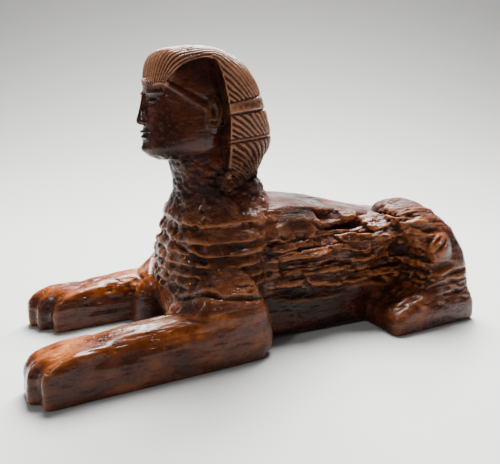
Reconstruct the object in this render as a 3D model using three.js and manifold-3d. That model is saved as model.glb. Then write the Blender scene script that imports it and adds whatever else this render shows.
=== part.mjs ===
// A recumbent sphinx carved from one block of wood, facing -Y with its left side towards +X.
// The forms are laid out as a carver draws them, on a grid of squares along the block, and one square
// is a millimetre on a statue of the length below. The statue stands on the level Z = 0.
import * as THREE from 'three';
import { mergeVertices } from 'three/addons/utils/BufferGeometryUtils.js';
import Module from 'manifold-3d';

const wasm = await Module();
wasm.setup();

const statueLength = 255.4;
const squaresAlong = 255.4;
const square = statueLength / squaresAlong;

const legMiddle = 41;
const legHalf = 12.4;
const toePitch = 8.1;
const nearToes = [-125.6, -125.2, -119.6];
const farToes = [-106.5, -114.5, -118.4];
const grooveHeights = [29, 35, 41, 46.5, 52.5, 58.5, 66.5, 77];
const rollDepth = 0.07;
const stripeCount = 20;
const stripeDepth = 1;
const faceHalf = 20.6;
const crownBandTop = 151.5;
const earMiddle = { y: -25, z: 123.5 };
const tableThickness = 40;

const steps = (from, to, count) =>
  Array.from({ length: count + 1 }, (_, i) => from + ((to - from) * i) / count);

// Columns of a table of stations, smoothly in between: the first column is the place along the form.
function between(stations) {
  const places = stations.map((row) => row[0]);
  const columns = stations[0].length - 1;
  const values = stations.flatMap((row) => row.slice(1));
  const curve = new THREE.CubicInterpolant(places, values, columns, new Float64Array(columns));
  return (place) => Array.from(curve.evaluate(place));
}

// One coordinate of a superellipse: power 2 is an ellipse, and higher powers are squarer.
const rounded = (wave, power) => Math.sign(wave) * Math.abs(wave) ** (2 / power);

const around = (count) => steps(0, 2 * Math.PI, count).slice(0, -1);

// A closed skin over rings of equally many points, with a fan over each end ring.
function skin(rings) {
  const count = rings[0].length;
  const points = rings.flat();
  const index = [];
  for (let r = 0; r + 1 < rings.length; r++) {
    for (let i = 0; i < count; i++) {
      const a = r * count + i;
      const b = r * count + ((i + 1) % count);
      index.push(a, b, b + count, a, b + count, a + count);
    }
  }
  [rings[0], rings.at(-1)].forEach((ring, end) => {
    const centre = points.length;
    const first = end * (rings.length - 1) * count;
    points.push(ring.reduce((sum, p) => sum.add(p), new THREE.Vector3()).divideScalar(count));
    for (let i = 0; i < count; i++) {
      const pair = [first + i, first + ((i + 1) % count)];
      index.push(centre, ...(end ? pair : pair.reverse()));
    }
  });
  const geometry = new THREE.BufferGeometry().setFromPoints(points);
  geometry.setIndex(index);
  return geometry;
}

function signedVolume(geometry) {
  const place = geometry.attributes.position;
  const corner = [0, 1, 2].map(() => new THREE.Vector3());
  let sum = 0;
  for (let i = 0; i < geometry.index.count; i += 3) {
    corner.forEach((p, k) => p.fromBufferAttribute(place, geometry.index.array[i + k]));
    sum += corner[0].dot(corner[1].clone().cross(corner[2])) / 6;
  }
  return sum;
}

// A solid for joining and cutting, with its faces turned outwards.
function solidOf(source) {
  const bare = source.clone();
  bare.deleteAttribute('normal');
  bare.deleteAttribute('uv');
  bare.scale(square, square, square);
  const geometry = mergeVertices(bare, 1e-4);
  const triVerts = new Uint32Array(geometry.index.array);
  if (signedVolume(geometry) < 0) triVerts.reverse();
  const vertProperties = new Float32Array(geometry.attributes.position.array);
  return new wasm.Manifold(new wasm.Mesh({ numProp: 3, vertProperties, triVerts }));
}

function geometryOf(solid) {
  const { vertProperties, triVerts } = solid.getMesh();
  const geometry = new THREE.BufferGeometry();
  geometry.setAttribute('position', new THREE.BufferAttribute(vertProperties, 3));
  geometry.setIndex(new THREE.BufferAttribute(triVerts, 1));
  geometry.computeVertexNormals();
  return geometry;
}

const union = (list) => list.reduce((sum, next) => sum.add(next));

// A form in level slices; the stations give the height, then the front, the back, the inner and the outer side,
// and the power where it changes with the height.
function levelForm(stations, heights, { points, power, side = 1, change = (p) => p }) {
  const at = between(stations);
  return skin(heights.map((z) => {
    const [front, back, inner, outer, squareness = power] = at(z);
    return around(points).map((angle) => {
      const x = (inner + outer) / 2 + ((outer - inner) / 2) * rounded(Math.sin(angle), squareness);
      const y = (front + back) / 2 - ((back - front) / 2) * rounded(Math.cos(angle), squareness);
      return change(new THREE.Vector3(side * x, y, z), angle);
    });
  }));
}

// A form in upright slices; the stations give the place, then the inner and outer side, the bottom and the top.
// The lower half can have a power of its own.
function crossForm(stations, places, { points, power, below = power, lean = 0, side = 1, change = (p) => p }) {
  const at = between(stations);
  return skin(places.map((y) => {
    const [inner, outer, bottom, top] = at(y);
    return around(points).map((angle) => {
      const squareness = Math.sin(angle) < -1e-6 ? below : power;
      const up = rounded(Math.sin(angle), squareness);
      const out = rounded(Math.cos(angle), squareness) * (1 - lean * Math.max(0, up));
      const x = (inner + outer) / 2 + ((outer - inner) / 2) * out;
      const z = (bottom + top) / 2 + ((top - bottom) / 2) * up;
      return change(new THREE.Vector3(side * x, y, z), angle);
    });
  }));
}

// Chest and neck, with the rolls of the collar sagging a little on either side of the breast.
// Each roll hangs over the groove below it and draws in towards the next one.
function bust() {
  const stations = [
    [2.4, -45, 0, -33, 33],
    [10, -48, 3, -35, 35],
    [20, -50.5, 6, -37, 37],
    [30, -51, 8, -38.5, 38.5],
    [42, -50, 10, -39, 39],
    [50, -48.5, 11, -38.8, 38.8],
    [60, -46.5, 12, -37, 37],
    [68, -44.8, 12.5, -33.5, 33.5],
    [76, -42.5, 12, -28.5, 28.5],
    [84, -40.5, 10, -24, 24],
    [92, -41, 7, -21, 21],
    [100, -43.5, 6.5, -19.5, 19.5],
    [110, -44, 5, -18.5, 18.5],
  ];
  const { smoothstep } = THREE.MathUtils;
  const middleY = -20;
  const change = (p, angle) => {
    const sag = 2.4 * Math.sin(angle) ** 2 * Math.max(0, Math.cos(angle)) + 0.8 * Math.sin(5 * angle);
    const roll = grooveHeights.findIndex((height, i) => p.z >= height && p.z < grooveHeights[i + 1]);
    if (roll < 0) return p;
    const share = (p.z - grooveHeights[roll]) / (grooveHeights[roll + 1] - grooveHeights[roll]);
    const lip = smoothstep(share, 0, 0.22) * (1 - 0.9 * smoothstep(share, 0.3, 1));
    const grow = 1 + rollDepth * (lip - 0.35) * (1 - smoothstep(p.y, -6, 6));
    const hang = sag * Math.sin((Math.PI * (roll + share)) / (grooveHeights.length - 1));
    return new THREE.Vector3(p.x * grow, middleY + (p.y - middleY) * grow, p.z - hang);
  };
  const rolls = grooveHeights.slice(1).flatMap((height, i) => {
    const groove = grooveHeights[i];
    return [groove, groove + 0.25 * (height - groove)];
  });
  const heights = [2.4, 18, ...rolls, grooveHeights.at(-1), 82, 92, 103, 110];
  return levelForm(stations, heights, { points: 24, power: 2.3, change });
}

const trunkStations = [
  [-25, -30, 30, 4, 78],
  [0, -35, 35, 1.8, 79],
  [16, -37, 37, 1.4, 78],
  [35, -38, 38, 1, 75.5],
  [55, -38.2, 38.2, 0.6, 71.5],
  [72, -38.4, 38.4, -0.6, 67.5],
  [88, -38, 38, -2, 63.5],
  [102, -38, 38, -3, 61.5],
  [112, -37, 37, -4, 60],
  [120, -35, 35, -4, 55],
  [126, -31, 31, -4, 43],
  [128.5, -27, 27, -4, 30],
];
const trunkShape = { points: 28, power: 2.7, below: 24, lean: 0.1 };

// The upper flank swells out towards the thigh.
const swell = (y, z) =>
  1 + 0.5 * THREE.MathUtils.smoothstep(y, 46, 90) * THREE.MathUtils.smoothstep(z, 40, 56);

function trunk() {
  const places = [-25, 2, 20, 38, 56, 72, 84, 94, 104, 112, 120, 126, 128.5];
  const change = (p) => p.setX(p.x * swell(p.y, p.z));
  return crossForm(trunkStations, places, { ...trunkShape, change });
}

// How far out the flank is at a place and a height.
function flankAt(y, z) {
  const [, outer, bottom, top] = between(trunkStations)(y);
  const up = (2 * z - bottom - top) / (top - bottom);
  const { power, below, lean } = trunkShape;
  const squareness = up < 0 ? below : power;
  const half = outer * (1 - Math.abs(up) ** squareness) ** (1 / squareness);
  return half * (1 - lean * Math.max(0, up)) * swell(y, z);
}

// Hind foot and thigh in one, leaning back from the toes to the hip.
function haunch(side, drop) {
  const stations = [
    [-8, 66, 127, 24, 64, 18],
    [4, 65.5, 129, 24, 64.2, 16],
    [11, 67, 129.6, 24, 63.8, 12],
    [15, 74, 129.8, 24, 62.8, 7],
    [20, 87, 129.8, 22, 61.3, 5],
    [28, 93, 129.4, 20, 59.8, 4.4],
    [38, 92, 128.5, 16, 58, 4],
    [48, 88, 126.5, 14, 55, 3.6],
    [58, 82, 121.5, 12, 50, 3.2],
    [65, 80, 115.5, 12, 43.5, 2.8],
    [69.5, 84, 109.5, 15, 36, 2.4],
    [71, 90, 103, 20, 30, 2.2],
  ];
  const change = (p) => p.setZ(p.z - drop * THREE.MathUtils.smoothstep(p.z, 20, 69));
  const heights = [-8, 5, 11, 14.5, 19, 25, 34, 44, 53, 60, 65.5, 69.5, 71];
  return levelForm(stations, heights, { points: 20, side, change });
}

// The knee stands out of the thigh as a knob.
const knee = (side, drop) => lump(side * 50, 103, 47 - 0.4 * drop, 18, 19, 21);

// How far the paw reaches at a place across it: straight lines between its three toes.
function reachAt(x, tips) {
  const place = THREE.MathUtils.clamp((x - legMiddle) / toePitch, -1.4, 1.4);
  return tips[1] + place * (place < 0 ? tips[1] - tips[0] : tips[2] - tips[1]);
}

// Foreleg as a squared log, its paw blunt and lower at the front.
function foreleg(side, tips) {
  const log = [legMiddle - legHalf, legMiddle + legHalf];
  const stations = [
    [-124.8, log[0] + 1.4, log[1] - 1.4, -11, 11.2],
    [-124, log[0] + 0.8, log[1] - 0.8, -11, 15],
    [-119.8, log[0] + 0.3, log[1] - 0.3, -11, 19.2],
    [-111.5, ...log, -11, 22.4],
    [-103, ...log, -11, 23.4],
    [-86, ...log, -11, 25.9],
    [-66, ...log, -11, 27.3],
    [-45, ...log, -11, 28],
    [-30, ...log, -11, 28],
    [-12, log[0], log[1] - 0.6, -11, 26],
  ];
  const fullReach = -125.6;
  const change = (p) => {
    const back = reachAt(Math.abs(p.x), tips) - fullReach;
    return p.setY(p.y + back * THREE.MathUtils.clamp((-20 - p.y) / 80, 0, 1));
  };
  const places = [-124.8, -124, -119.8, -111.5, -100, -84, -64, -40, -12];
  return crossForm(stations, places, { points: 16, power: 3.4, below: 5, lean: 0.1, side, change });
}

// Three blunt toes standing a little proud of the paw.
function toes(side, tips) {
  return tips.map((tip, i) => {
    const middle = legMiddle + (i - 1) * toePitch;
    const half = toePitch / 2 + 0.6;
    const stations = [
      [0, middle - half + 0.9, middle + half - 0.9, -11, 11.5],
      [0.9, middle - half + 0.3, middle + half - 0.3, -11, 15.5],
      [5, middle - half, middle + half, -11, 19.6],
      [14, middle - half + 0.1, middle + half - 0.1, -11, 22.8],
      [30, middle - 1.6, middle + 1.6, -11, 23.6],
    ];
    const change = (p) => p.setY(p.y + tip);
    const places = stations.map(([place]) => place);
    return crossForm(stations, places, { points: 12, power: 5, below: 10, lean: 0.04, side, change });
  });
}

function upperArm(side) {
  const stations = [
    [-8, -62, -18, 18, 52.5],
    [0, -63, -10, 18, 52.8],
    [4, -63, -5.6, 18, 53],
    [9, -62, -4.2, 18, 53.2],
    [19, -59, -5.3, 18, 52.4],
    [27, -53, -7.6, 18, 51.2],
    [33, -47, -10.5, 18, 49.5],
    [38, -43, -13, 18, 47.5],
    [43, -39, -16, 18, 44.5],
    [47, -36, -19, 18, 41],
    [50, -34, -21, 18, 37],
  ];
  return levelForm(stations, [-8, 0, 4, 9, 19, 28, 37, 43, 47, 50], { points: 16, power: 4.6, side });
}

// The face as an egg-shaped block; the features are added to it.
function face() {
  const stations = [
    [100.5, -50, -14, -11, 11],
    [102.3, -54.5, -11, -15.5, 15.5],
    [105, -57, -9, -18, 18],
    [110, -56.5, -8, -19.8, 19.8],
    [118, -55.8, -8, -faceHalf, faceHalf],
    [126, -55.6, -8, -faceHalf, faceHalf],
    [134, -55.4, -8, -faceHalf, faceHalf],
    [142, -54, -8, -20.4, 20.4],
    [150, -51, -9, -18.5, 18.5],
  ];
  return levelForm(stations, [100.5, 102.3, 104.8, 109, 115, 123, 131, 139, 150], { points: 24, power: 2.35 });
}

// A rounded form about a middle, turned about X and then about Z.
function lump(x, y, z, width, depth, height, tilt = 0, turn = 0) {
  const form = new THREE.SphereGeometry(0.5, 8, 6);
  form.scale(width, depth, height).rotateX(tilt).rotateZ(turn);
  return form.translate(x, y, z);
}

// Features in thirds from the head band down to the chin, and in fifths across the face.
function features() {
  const chinZ = 103.5;
  const third = 15;
  const fifth = (2 * faceHalf) / 5;
  const noseZ = chinZ + third;
  const browZ = noseZ + third;
  const mouthZ = noseZ - third / 3;
  const parts = [
    nose(noseZ, browZ, fifth),
    lump(0, -55.3, mouthZ + 1.1, 1.5 * fifth, 6.4, 2.4),
    lump(0, -55, mouthZ - 1.6, 1.25 * fifth, 6.2, 2.6),
    lump(0, -53.5, chinZ + 2.6, 1.4 * fifth, 9.6, 6),
  ];
  for (const side of [-1, 1]) {
    parts.push(lump(side * fifth * 1.02, -53, browZ - 3.8, fifth, 4.4, 3.4, 0, side * 0.42));
    parts.push(lump(side * fifth * 1.15, -53, browZ + 0.3, 1.7 * fifth, 4, 1.9, 0, side * 0.4));
    parts.push(lump(side * fifth * 2.12, -44.5, browZ - 3.6, 2.4, 11, 1.8, -0.32, side * -0.34));
  }
  return parts;
}

function nose(noseZ, browZ, fifth) {
  const stations = [
    [noseZ - 1, -56, -50, -0.3 * fifth, 0.3 * fifth],
    [noseZ, -59.6, -50, -0.5 * fifth, 0.5 * fifth],
    [noseZ + 2, -60.2, -50, -0.5 * fifth, 0.5 * fifth],
    [noseZ + 5, -59.2, -50, -0.34 * fifth, 0.34 * fifth],
    [browZ - 4, -57.6, -50, -0.24 * fifth, 0.24 * fifth],
    [browZ, -56.8, -50, -0.3 * fifth, 0.3 * fifth],
  ];
  return levelForm(stations, stations.map((row) => row[0]), { points: 12, power: 1.9 });
}

function ear(side) {
  const { y, z } = earMiddle;
  const outer = lump(side * faceHalf, y, z, 6.4, 12, 21, -0.18);
  const hollow = lump(side * (faceHalf + 3.6), y - 1.2, z + 1.5, 3.4, 5.5, 12, -0.18);
  return solidOf(outer).subtract(solidOf(hollow));
}

// The plain cloth about the temples, its lower edge running down from the brow to the ears.
function headBand() {
  const lower = between([[-60, 140], [-52, 138.4], [-44, 133], [-36, 127.4], [-25, 121.6], [-8, 119]]);
  const rows = [[0, -0.6], [0.02, 1.1], [0.16, 1.3], [0.22, 0.1], [0.3, 0.6], [0.55, 0.4], [1, -1.6]];
  const stations = [
    [0, -54.4, -8, -faceHalf, faceHalf],
    [0.5, -53, -8, -20.9, 20.9],
    [1, -49.5, -9, -19.2, 19.2],
  ];
  const at = between(stations);
  return skin(rows.map(([share, proud]) => {
    const [front, back, inner, outer] = at(share);
    return around(26).map((angle) => {
      const x = (outer + proud) * rounded(Math.sin(angle), 2.35);
      const y = (front + back) / 2 - ((back - front) / 2 + proud) * rounded(Math.cos(angle), 2.35);
      const [low] = lower(y);
      return new THREE.Vector3(x, y, low + share * (crownBandTop - low));
    });
  }));
}

// The striped headcloth: arched sections from the brow over the crown to the nape.
// Its edges run along the temple and then down the front of the wings behind the ears.
function headcloth() {
  const stations = [
    // order, outer y and z, edge x, y and z
    [0, -54.4, 137.5, 15.5, -50, 137.6],
    [1, -54, 143.5, 18.2, -47.6, 141.2],
    [2, -52.6, 150, 20.4, -44.4, 144.6],
    [3, -48.8, 154.6, 21.4, -41, 147.3],
    [4, -41.5, 156.6, 22.3, -36.3, 149.3],
    [5, -31, 157.8, 23.2, -29.6, 150.6],
    [6, -17, 156.2, 24.4, -25.6, 149.2],
    [7, -4.2, 150.3, 26.2, -23, 142],
    [8, 3.4, 142, 27.6, -21.6, 134],
    [9, 8, 132, 28.4, -20.6, 127],
    [10, 11.6, 122, 28.5, -20, 118.5],
    [11, 14.2, 113, 28, -20, 109.5],
    [12, 13.6, 106, 26.2, -19.5, 102],
    [13, 9.4, 99, 23.6, -18.6, 95.5],
    [14, 7.4, 91, 20, -16.5, 88],
  ];
  // order, depth of the grooves, set back of the whole surface, share of the half turn the stripes fill
  const rows = [
    [0, 0.7, 0, 1],
    [0.9, 1, 0, 1],
    [2.6, 1, 0, 1],
    [5, 1, 0, 1],
    [6.2, 1, 0, 0.97],
    [7.4, 1, 0, 0.91],
    [8.75, 0.9, 0, 0.8],
    // a plain band with a groove under it
    [8.85, 0, -0.2, 0.96],
    [9.4, 0, -0.2, 0.96],
    [9.48, 0, 0.8, 0.96],
    [9.58, 0.8, 0, 0.94],
    [10.82, 0.9, 0, 0.78],
    // a second groove with a narrow ridge
    [10.88, 0, 0.8, 0.96],
    [10.96, 0, -0.3, 0.95],
    [11.15, 0.9, 0, 0.92],
    [12, 1, 0, 0.8],
    [13, 0.8, 0, 0.75],
    [14, 0, 0, 0.75],
  ];
  const at = between(stations);
  const count = 2 * stripeCount;
  return skin(rows.map(([order, depth, setBack, fill]) => {
    const [outerY, outerZ, edgeX, edgeY, edgeZ] = at(order);
    return steps(-1, 1, count).map((share, i) => {
      const last = i === 0 || i === count;
      const angle = (Math.PI / 2) * (last ? share : share * fill);
      const bow = rounded(Math.cos(angle), 2.3);
      const x = edgeX * rounded(Math.sin(angle), 2.3);
      const point = new THREE.Vector3(x, edgeY + (outerY - edgeY) * bow, edgeZ + (outerZ - edgeZ) * bow);
      const inset = last ? 0 : (i % 2) * depth * stripeDepth + setBack;
      const inwards = new THREE.Vector3(0, edgeY, edgeZ).sub(point);
      return point.add(inwards.setLength(Math.abs(inset)).multiplyScalar(Math.sign(inset)));
    });
  }));
}

// A spindle-shaped cut lying along the statue, as one stroke of a gouge leaves it.
function gouge(side, x, y, z, length, width, depth, tilt = 0) {
  const cut = new THREE.SphereGeometry(0.5, 5, 4).rotateX(Math.PI / 2);
  cut.scale(2 * depth, length, width).rotateX(tilt);
  return cut.translate(side * x, y, z);
}

const flankCuts = [
  // place along, height, length, width, depth, tilt
  [23, 66, 26, 5.5, 2, -0.1],
  [50, 62, 28, 5, 2, -0.12],
  [74, 57, 24, 5, 2, -0.1],
  [15, 55, 20, 6, 2, -0.05],
  [41, 52.5, 28, 5.5, 2, -0.1],
  [70, 48.5, 26, 5.5, 2.2, -0.06],
  [22, 43.5, 26, 6, 2.2, 0],
  [52, 41.5, 28, 5.5, 2.2, -0.06],
  [78, 39, 22, 6, 2.6, 0.05],
  [14, 34, 18, 6.5, 2.2, -0.04],
  [37, 32, 24, 5.5, 2, -0.05],
  [64, 31, 26, 5.5, 2.2, 0.04],
];

const haunchCuts = [
  // outward place, place along, height, length, width, depth, tilt
  [57.5, 103, 35.5, 17, 16, 6, 0.1],
  [56.5, 112, 51, 20, 5, 2, -0.5],
  [61, 112, 26.5, 30, 4.5, 2, -0.12],
  [63, 106, 18.5, 36, 3.6, 2, -0.06],
  [50.5, 93, 57, 22, 5, 2.6, -0.3],
];

function sphinx() {
  const forms = [bust(), trunk(), face(), headBand(), headcloth(), ...features()];
  const cuts = [];
  for (const [side, tips, drop] of [[1, nearToes, 0], [-1, farToes, 11]]) {
    forms.push(haunch(side, drop), knee(side, drop), foreleg(side, tips), upperArm(side), ...toes(side, tips));
    const strokes = flankCuts.filter((_, i) => side === 1 || i % 2 === 0);
    for (const [y, z, ...rest] of strokes) cuts.push(gouge(side, flankAt(y, z) + 0.3, y, z, ...rest));
    for (const [x, y, z, ...rest] of haunchCuts) cuts.push(gouge(side, x, y, z - drop * 0.4, ...rest));
  }
  const body = union([...forms.map(solidOf), ear(1), ear(-1)]);
  const table = new THREE.BoxGeometry(2 * squaresAlong, 2 * squaresAlong, tableThickness);
  table.translate(0, 0, -tableThickness / 2);
  const geometry = geometryOf(body.subtract(union([...cuts, table].map(solidOf))));
  geometry.computeBoundingBox();
  const middle = geometry.boundingBox.getCenter(new THREE.Vector3());
  return geometry.translate(-middle.x, -middle.y, 0);
}

const wood = new THREE.MeshStandardMaterial({ color: 0x5c2a14, roughness: 0.3, metalness: 0 });

const statue = new THREE.Group();
const mesh = new THREE.Mesh(sphinx(), wood);
mesh.name = 'sphinx_statue';
statue.add(mesh);

export default statue;
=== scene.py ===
# Looks of a hand-carved sphinx in dark lacquered wood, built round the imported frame.
import math

import bpy
import numpy as np
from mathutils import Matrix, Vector, kdtree


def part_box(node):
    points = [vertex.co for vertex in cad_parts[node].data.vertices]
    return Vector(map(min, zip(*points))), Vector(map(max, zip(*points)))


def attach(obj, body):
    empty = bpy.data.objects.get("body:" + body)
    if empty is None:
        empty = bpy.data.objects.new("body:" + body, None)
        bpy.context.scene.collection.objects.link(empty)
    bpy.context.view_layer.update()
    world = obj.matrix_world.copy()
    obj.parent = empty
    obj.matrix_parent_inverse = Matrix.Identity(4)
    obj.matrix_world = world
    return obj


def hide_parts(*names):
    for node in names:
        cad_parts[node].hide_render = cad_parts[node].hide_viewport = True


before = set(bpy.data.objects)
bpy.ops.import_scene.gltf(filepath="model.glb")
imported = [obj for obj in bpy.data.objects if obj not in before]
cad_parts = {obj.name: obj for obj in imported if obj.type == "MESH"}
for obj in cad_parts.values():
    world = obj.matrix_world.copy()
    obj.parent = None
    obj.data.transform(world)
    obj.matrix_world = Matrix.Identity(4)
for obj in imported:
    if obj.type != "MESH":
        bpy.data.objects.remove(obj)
bpy.ops.object.select_all(action="DESELECT")
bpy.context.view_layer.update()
lowCorner, highCorner = (np.array(corner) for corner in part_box("sphinx_statue"))

# The forms lie on the carver's grid of the solid: a square is about a millimetre.
squaresAlong = 255.4
nearPawTip = -125.6
square = (highCorner[1] - lowCorner[1]) / squaresAlong
gridMiddle = np.array([0.0, nearPawTip - lowCorner[1] / square, 0.0])
chance = np.random.default_rng(7)


def toFrame(points):
    return (np.asarray(points, float) - gridMiddle) * square


# Curves and waves that the forms are laid out with

def between(stations):
    # columns of a table of stations, smoothly in between; the first column is the place along the form
    table = np.array(stations, float)
    place, value = table[:, 0], table[:, 1:]
    step = np.diff(place)[:, None]
    rise = np.diff(value, axis=0) / step
    slope = np.empty_like(value)
    slope[1:-1] = (value[2:] - value[:-2]) / (place[2:] - place[:-2])[:, None]
    slope[0] = 1.5 * rise[0] - 0.5 * slope[1]
    slope[-1] = 1.5 * rise[-1] - 0.5 * slope[-2]

    def at(where):
        where = np.clip(np.atleast_1d(np.asarray(where, float)), place[0], place[-1])
        i = np.clip(np.searchsorted(place, where, side="right") - 1, 0, len(place) - 2)
        h = (place[i + 1] - place[i])[:, None]
        t = (where - place[i])[:, None] / h
        start = (1 + 2 * t) * (1 - t) ** 2 * value[i] + t * (1 - t) ** 2 * h * slope[i]
        end = t * t * (3 - 2 * t) * value[i + 1] + t * t * (t - 1) * h * slope[i + 1]
        return (start + end).T

    return at


def rounded(wave, power):
    # one coordinate of a superellipse: power 2 is an ellipse, higher powers are squarer
    return np.sign(wave) * np.abs(wave) ** (2 / power)


def smooth(low, high, value):
    t = np.clip((value - low) / (high - low), 0, 1)
    return t * t * (3 - 2 * t)


def softNoise(points, size, layer=0):
    # even value noise between -1 and 1, from a seeded lattice of the given cell size
    lattice = np.random.default_rng(100 + layer).uniform(-1, 1, (32, 32, 32))
    spot = np.asarray(points, float) / size + 1000.0
    cell = np.floor(spot).astype(int)
    t = spot - cell
    t = t * t * (3 - 2 * t)
    total = np.zeros(len(spot))
    for corner in np.ndindex(2, 2, 2):
        weight = np.prod(np.where(np.array(corner) == 1, t, 1 - t), axis=1)
        x, y, z = ((cell[:, k] + corner[k]) % 32 for k in range(3))
        total += weight * lattice[x, y, z]
    return total


# Closed forms

def skin(rings):
    # a closed skin over rings of equally many points, with a fan over each end
    count, around = rings.shape[:2]
    points = [*rings.reshape(-1, 3), rings[0].mean(axis=0), rings[-1].mean(axis=0)]
    row = np.arange(count - 1)[:, None] * around
    here = np.arange(around)[None, :]
    there = (here + 1) % around
    quads = np.stack([row + here, row + there, row + there + around, row + here + around], axis=-1)
    faces = quads.reshape(-1, 4).tolist()
    last = (count - 1) * around
    for i in range(around):
        j = (i + 1) % around
        faces.append([count * around, j, i])
        faces.append([count * around + 1, last + i, last + j])
    return np.array(points), faces


def levelForm(stations, gap=1.0, around=96, power=3.0, side=1, change=None):
    # level slices: height, front, back, inner side, outer side, and the power where it changes
    table = np.array(stations, float)
    heights = np.linspace(table[0, 0], table[-1, 0], max(4, int((table[-1, 0] - table[0, 0]) / gap)))
    front, back, inner, outer, *rest = between(stations)(heights)
    squareness = rest[0][:, None] if rest else power
    angle = np.linspace(0, 2 * np.pi, around, endpoint=False)[None, :]
    middle, half = (inner + outer)[:, None] / 2, (outer - inner)[:, None] / 2
    centre, depth = (front + back)[:, None] / 2, (back - front)[:, None] / 2
    x = side * (middle + half * rounded(np.sin(angle), squareness))
    y = centre - depth * rounded(np.cos(angle), squareness)
    rings = np.stack(np.broadcast_arrays(x, y, heights[:, None]), axis=-1).copy()
    return skin(change(rings, angle) if change else rings)


def crossForm(stations, gap=1.2, around=96, power=3.0, below=None, lean=0.0, side=1, change=None):
    # upright slices: place, inner side, outer side, bottom, top
    table = np.array(stations, float)
    places = np.linspace(table[0, 0], table[-1, 0], max(5, int((table[-1, 0] - table[0, 0]) / gap)))
    inner, outer, bottom, top = (column[:, None] for column in between(stations)(places))
    angle = np.linspace(0, 2 * np.pi, around, endpoint=False)[None, :]
    squareness = np.where(np.sin(angle) < -1e-6, below or power, power)
    up = rounded(np.sin(angle), squareness)
    out = rounded(np.cos(angle), squareness) * (1 - lean * np.maximum(0, up))
    x = side * ((inner + outer) / 2 + (outer - inner) / 2 * out)
    z = (bottom + top) / 2 + (top - bottom) / 2 * up
    rings = np.stack(np.broadcast_arrays(x, places[:, None], z), axis=-1).copy()
    return skin(change(rings, angle) if change else rings)


def lump(middle, size, turn=(0.0, 0.0), count=28):
    # a rounded form of three sizes, turned about X and then about Z
    tilt = np.linspace(-np.pi / 2, np.pi / 2, count)[1:-1, None]
    angle = np.linspace(0, 2 * np.pi, 2 * count, endpoint=False)[None, :]
    ball = np.stack(np.broadcast_arrays(np.cos(tilt) * np.cos(angle), np.cos(tilt) * np.sin(angle),
                                        np.sin(tilt)), axis=-1) * np.array(size) / 2
    return skin(turned(ball, turn) + np.array(middle))


def turned(points, turn):
    aboutX, aboutZ = turn
    x, y, z = np.moveaxis(np.asarray(points, float), -1, 0)
    y, z = y * math.cos(aboutX) - z * math.sin(aboutX), y * math.sin(aboutX) + z * math.cos(aboutX)
    x, y = x * math.cos(aboutZ) - y * math.sin(aboutZ), x * math.sin(aboutZ) + y * math.cos(aboutZ)
    return np.stack([x, y, z], axis=-1)


# The sphinx's forms

bust = {
    "stations": [
        [2.4, -45, 0, -33, 33], [10, -48, 3, -35, 35], [20, -50.5, 6, -37, 37], [30, -51, 8, -38.5, 38.5],
        [42, -50, 10, -39, 39], [50, -48.5, 11, -38.8, 38.8], [60, -46.5, 12, -37, 37],
        [68, -44.8, 12.5, -33.5, 33.5], [76, -42.5, 12, -28.5, 28.5], [84, -40.5, 10, -24, 24],
        [92, -41, 7, -21, 21], [100, -43.5, 6.5, -19.5, 19.5], [110, -44, 5, -18.5, 18.5],
    ],
    "grooveHeights": [29, 35, 41, 46.5, 52.5, 58.5, 66.5, 77],
    "rollDepth": 0.07,
    "middleY": -20,
}


def makeBust():
    # the collar hangs in rolls with a ragged lower lip, which fade out over the shoulders
    def rolls(rings, angle):
        x, y, z = np.moveaxis(rings, -1, 0)
        flat = rings.reshape(-1, 3)
        wander = (1.5 * softNoise(flat * [1, 1, 0.5], 11, 1) + 0.7 * softNoise(flat, 4.5, 2)).reshape(z.shape)
        grooves = np.array(bust["grooveHeights"], float)
        order = np.interp(z + wander, grooves, np.arange(len(grooves)))
        phase = order % 1
        lip = smooth(0, 0.22, phase) * (1 - 0.9 * smooth(0.3, 1.0, phase))
        inside = smooth(grooves[0] - 1, grooves[0] + 2, z) * (1 - smooth(grooves[-1] - 3, grooves[-1] + 1, z))
        fade = 1 - smooth(-8, 8, y)
        uneven = 1 + 0.35 * softNoise(flat, 9, 3).reshape(z.shape)
        grow = 1 + bust["rollDepth"] * (lip * uneven - 0.35) * inside * fade
        middle = bust["middleY"]
        return np.stack([x * grow, middle + (y - middle) * grow, z], axis=-1)
    return levelForm(bust["stations"], gap=0.6, around=280, power=2.3, change=rolls)


trunk = {
    "stations": [
        [-25, -30, 30, 4, 78], [0, -35, 35, 1.8, 79], [16, -37, 37, 1.4, 78], [35, -38, 38, 1, 75.5],
        [55, -38.2, 38.2, 0.6, 71.5], [72, -38.4, 38.4, -0.6, 67.5], [88, -38, 38, -2, 63.5],
        [102, -38, 38, -3, 61.5], [112, -37, 37, -4, 60], [120, -35, 35, -4, 55], [126, -31, 31, -4, 43],
        [128.5, -27, 27, -4, 30],
    ],
    "power": 2.7, "below": 24, "lean": 0.1,
    "swell": 0.5,
}


def makeTrunk():
    # the upper flank swells out towards the thigh
    def swell(rings, angle):
        rings[..., 0] *= 1 + trunk["swell"] * smooth(46, 90, rings[..., 1]) * smooth(40, 56, rings[..., 2])
        return rings
    return crossForm(trunk["stations"], around=200, power=trunk["power"], below=trunk["below"],
                     lean=trunk["lean"], change=swell)


haunch = {
    "stations": [
        [-8, 66, 127, 24, 64, 18], [4, 65.5, 129, 24, 64.2, 16], [11, 67, 129.6, 24, 63.8, 12],
        [15, 74, 129.8, 24, 62.8, 7], [20, 87, 129.8, 22, 61.3, 5], [28, 93, 129.4, 20, 59.8, 4.4],
        [38, 92, 128.5, 16, 58, 4], [48, 88, 126.5, 14, 55, 3.6], [58, 82, 121.5, 12, 50, 3.2],
        [65, 80, 115.5, 12, 43.5, 2.8], [69.5, 84, 109.5, 15, 36, 2.4], [71, 90, 103, 20, 30, 2.2],
    ],
    "farDrop": 11,
}


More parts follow.
